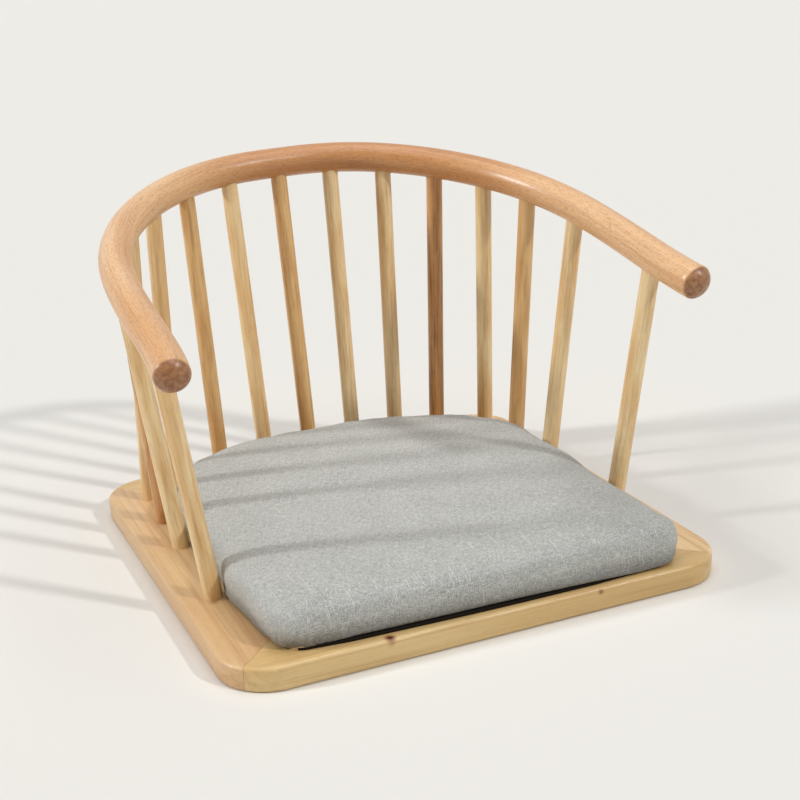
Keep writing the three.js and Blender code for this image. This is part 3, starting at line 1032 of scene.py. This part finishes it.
def edgePlaces(x, y, v):
    # for each point: how far along the outline from the middle of the front, left below zero, how far
    # in from it, and the way straight out
    plan = cushionPlan(v)
    steps = np.linalg.norm(np.roll(plan, -1, axis=0) - plan, axis=1)
    marks = np.concatenate([[0.0], np.cumsum(steps)[:-1]])
    total = steps.sum()
    front = marks[np.argmin(np.hypot(plan[:, 0], plan[:, 1] - plan[:, 1].min()))]
    spot = np.argmin((x[:, None] - plan[:, 0]) ** 2 + (y[:, None] - plan[:, 1]) ** 2, axis=1)
    outward = outwardFrom(plan)[spot]
    offset = np.stack([x, y], axis=1) - plan[spot]
    sideways = offset[:, 0] * -outward[:, 1] + offset[:, 1] * outward[:, 0]
    place = marks[spot] - front + sideways
    return (place + total / 2) % total - total / 2, -(offset * outward).sum(axis=1), outward


def bell(distance, width):
    return np.exp(-((distance / width) ** 2))


def frontLift(x, y, rise, v):
    # how far the hem stands off the board along the front
    (liftFrom, startRun), (liftTo, finishRun) = v["liftFrom"], v["liftTo"]
    start = np.clip((x - liftFrom) / startRun, 0, 1)
    finish = np.clip((liftTo - x) / finishRun, 0, 1)
    depth = np.clip(1 - (y - v["frontInset"] + board["halfDepth"]) / v["liftDepth"], 0, 1)
    full = np.minimum(1, depth * v["liftFullness"])
    low = np.clip(1 - rise / v["liftReach"], 0, 1)
    return v["frontLift"] * start * (2 - start) * finish * (2 - finish) * full * low


def sideSwell(x, y, rise, inset, outward, v):
    # how far the sides and the front hem fill out
    swell = np.zeros(len(x))
    for hand, centre, reach, out in v["sideSwells"]:
        onHand = np.clip(hand * outward[:, 0], 0, 1)
        swell += out * onHand * np.cos(np.clip((y - centre) / reach, -1, 1) * math.pi / 2) ** 2
    fillFrom, fillTo, fillOut, fillReach = v["hemFill"]
    onFront = np.clip((x - fillFrom) / (fillTo - fillFrom), 0, 1) * np.clip(-outward[:, 1], 0, 1)
    swell += fillOut * onFront * np.clip(1 - rise / fillReach, 0, 1)
    return swell * np.clip(1 - inset / v["swellReach"], 0, 1)


def pullDents(x, y, v):
    # shallow creases that run in from the front corners
    dent = np.zeros(len(x))
    for (ax, ay), (bx, by), width, deep in v["pullLines"]:
        run = Vector((bx - ax, by - ay))
        share = ((x - ax) * run.x + (y - ay) * run.y) / run.length_squared
        gap = np.abs((x - ax) * run.y - (y - ay) * run.x) / run.length
        full = np.clip(np.minimum(share, 1 - share) * v["pullFullness"], 0, 1)
        dent += deep * bell(gap, width) * full
    return dent


def settle(piece, v):
    # lays the underside flat and shapes the hem, the corners, the sides and the top
    places = coordinates(piece)
    seat = board["thickness"] + v["seatGap"]
    x, y = places[:, 0], places[:, 1] - chairShift
    rise = places[:, 2] - seat
    place, inset, outward = edgePlaces(x, y, v)
    sideFullness, sideRun = v["sideFade"]
    onSide = np.clip(sideFullness - inset / sideRun, 0, 1)
    lift = frontLift(x, y, rise, v)
    for centre, width, high, reach in v["hemWaves"]:
        lift += high * bell(place - centre, width) * np.clip(1 - rise / reach, 0, 1) * onSide
    for (swellX, swellY), (reachX, reachY), high in v["topSwells"]:
        share = np.exp(-(((x - swellX) / reachX) ** 2) - ((y - swellY) / reachY) ** 2)
        lift += high * share * np.clip(rise / v["edgeHeight"], 0, 1)
    pinch = np.zeros(len(places))
    for centre, width, deep, reach in v["puckers"]:
        pinch += deep * bell(place - centre, width) * np.clip(v["pinchFullness"] - rise / reach, 0, 1)
    topFrom, topRun = v["topFade"]
    onTop = np.clip((rise - v["edgeHeight"] * topFrom) / topRun, 0, 1)
    dent = pullDents(x, y, v) * onTop
    out = sideSwell(x, y, rise, inset, outward, v) - pinch * onSide
    places[:, :2] += outward * out[:, None]
    places[:, 2] += np.maximum(-rise, lift) - dent
    setCoordinates(piece, places)


def unroll(piece, v):
    # the weave's flat coordinates, which run on from the top down the sides
    places = coordinates(piece)
    normals = np.empty(len(places) * 3)
    piece.data.vertices.foreach_get("normal", normals)
    level = normals.reshape(-1, 3)[:, :2]
    size = np.linalg.norm(level, axis=1)
    upright = np.minimum(1.0, size * v["rollShare"])
    outward = level / np.maximum(size, 1e-6)[:, None] * upright[:, None]
    drop = places[:, 2].max() - places[:, 2]
    weave = np.zeros_like(places)
    weave[:, :2] = places[:, :2] - (0, chairShift) + outward * drop[:, None]
    weave[:, 2] = places[:, 2] - board["thickness"]
    field = piece.data.attributes.new("weave", "FLOAT_VECTOR", "POINT")
    field.data.foreach_set("vector", weave.astype(np.float32).ravel())


# Dark band round the cushion's underside, a dark sheet that stands in for the shade in the gap below
# the front hem; it is tucked in at the sides
shadeGapBand = {
    "inset": 0.0026,
    "sideInset": 0.0090,
    "bottom": 0.02436,
    "top": 0.0265,
    "innerInset": 0.018,
    "facing": (0.8, 0.15),
    "fades": ((-0.206, -0.135), (0.200, 0.105)),  # tucked in to out, left end and right end
    # near-black tones of the painted shade in the gap under the hem
    "tones": (paint(40, 34, 28), paint(24, 20, 17)),
    "roughness": 0.95,
    "specular": 0.1,
    "threadScale": (1400, 1400, 1400),
    "bumpDepth": 0.0002,
}


def makeShadeGapBand(v):
    plan = cushionPlan(cushion)
    outward = outwardFrom(plan)
    facingFrom, facingRun = v["facing"]
    forward = np.clip((-outward[:, 1] - facingFrom) / facingRun, 0, 1)
    for hidden, shown in v["fades"]:
        forward *= np.clip((plan[:, 0] - hidden) / (shown - hidden), 0, 1)
    outer = (v["sideInset"] + (v["inset"] - v["sideInset"]) * forward)[:, None]
    inner = v["innerInset"]
    rings = []
    for inset, height in ((inner, "bottom"), (outer, "bottom"), (outer, "top"), (inner, "top")):
        rings.append([(x, y + chairShift, v[height]) for x, y in plan - outward * inset])
    points = [point for ring in rings for point in ring]
    piece = meshPiece("paintedShadeGapBand", points, skin(rings, closed=True), {})
    # painted shade of the gap under the hem, nearly black with a faint texture
    g = Graph(bpy.data.materials.new("paintedShadeGapBand"))
    place = g.node("ShaderNodeTexCoord", {}, out="Object")
    thread = g.cloud(place, v["threadScale"], detail=2, rough=0.6)
    sockets = {
        "Base Color": g.blend(thread, *v["tones"]),
        "Roughness": v["roughness"],
        "Specular IOR Level": v["specular"],
    }
    piece.data.materials.append(g.surface(sockets, thread, v["bumpDepth"]))
    return piece


shadeGapBandPiece = makeShadeGapBand(shadeGapBand)
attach(shadeGapBandPiece, "cushion")
print("base band cut")

linenCushion = makeCushion(cushion)
linenCushion.data.materials.append(linenFinish("greyLinen", linenLook))
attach(linenCushion, "cushion")
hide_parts("seat_cushion")
print("cushion covered")

# Pieces that keep their own solids and take a finish
plyMaterial = plyFinish("plainPly", plyLook)
steelMaterial = steelFinish("zincScrew", steelLook)
for nodeName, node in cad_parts.items():
    if node.hide_render:
        continue
    node.data.materials.clear()
    isScrew = nodeName.startswith("panel_screw")
    node.data.materials.append(steelMaterial if isScrew else plyMaterial)
print("panel, tongues and screws finished")

# Floor and light
studio = {
    "floorSize": 60.0,
    "floorColour": paint(232, 230, 225),
    "floorRoughness": 0.8,
    "floorSpecular": 0.2,
    "floorScale": (30, 30, 30),
    "floorBump": 0.00002,
    "backdropColour": paint(232, 231, 227),
    "backdropStrength": 1.0,
    "worldColour": paint(255, 255, 255),
    "worldStrength": 0.09,
    # way the light travels, in degrees from +X and below level, then spread in degrees and strength
    "lamps": {
        "leftWindow": ((346, 27), 6.5, 1.50),
        "rightWindow": ((126, 38), 4.0, 1.15),
        "overhead": ((90, 86), 60.0, 1.62),
    },
}


def makeStudio(v):
    half = v["floorSize"] / 2
    corners = [(-half, -half, 0), (half, -half, 0), (half, half, 0), (-half, half, 0)]
    floor = meshPiece("paleFloor", corners, [(0, 1, 2, 3)], {})
    g = Graph(bpy.data.materials.new("paleFloor"))
    place = g.node("ShaderNodeTexCoord", {}, out="Object")
    faint = g.cloud(place, v["floorScale"], detail=3, rough=0.5)
    sockets = {
        "Base Color": v["floorColour"],
        "Roughness": v["floorRoughness"],
        "Specular IOR Level": v["floorSpecular"],
    }
    floor.data.materials.append(g.surface(sockets, faint, v["floorBump"]))
    # the world lights the object faintly, and shows as a pale backdrop where it is seen or mirrored
    g = Graph(bpy.data.worlds.new("studioWorld"))
    seen = g.node("ShaderNodeLightPath", out="Is Camera Ray")
    mirrored = Link(g, seen.socket.node.outputs["Is Glossy Ray"])
    through = Link(g, seen.socket.node.outputs["Is Transmission Ray"])
    glowSockets = {"Color": v["worldColour"], "Strength": v["worldStrength"]}
    backdropSockets = {"Color": v["backdropColour"], "Strength": v["backdropStrength"]}
    glow = g.node("ShaderNodeBackground", {}, glowSockets)
    backdrop = g.node("ShaderNodeBackground", {}, backdropSockets)
    shown = g.node("ShaderNodeMixShader", {}, [seen + mirrored + through, glow, backdrop])
    g.node("ShaderNodeOutputWorld", {}, [shown])
    bpy.context.scene.world = g.owner
    for name, ((turn, fall), spread, strength) in v["lamps"].items():
        data = bpy.data.lights.new(name, "SUN")
        data.angle = math.radians(spread)
        data.energy = strength
        lamp = bpy.data.objects.new(name, data)
        turn, fall = math.radians(turn), math.radians(fall)
        level = math.cos(fall)
        way = Vector((math.cos(turn) * level, math.sin(turn) * level, -math.sin(fall)))
        lamp.rotation_euler = way.to_track_quat("-Z", "Y").to_euler()
        bpy.context.scene.collection.objects.link(lamp)
    bpy.context.scene.view_settings.view_transform = "Standard"


makeStudio(studio)
print("floor and lamps set")
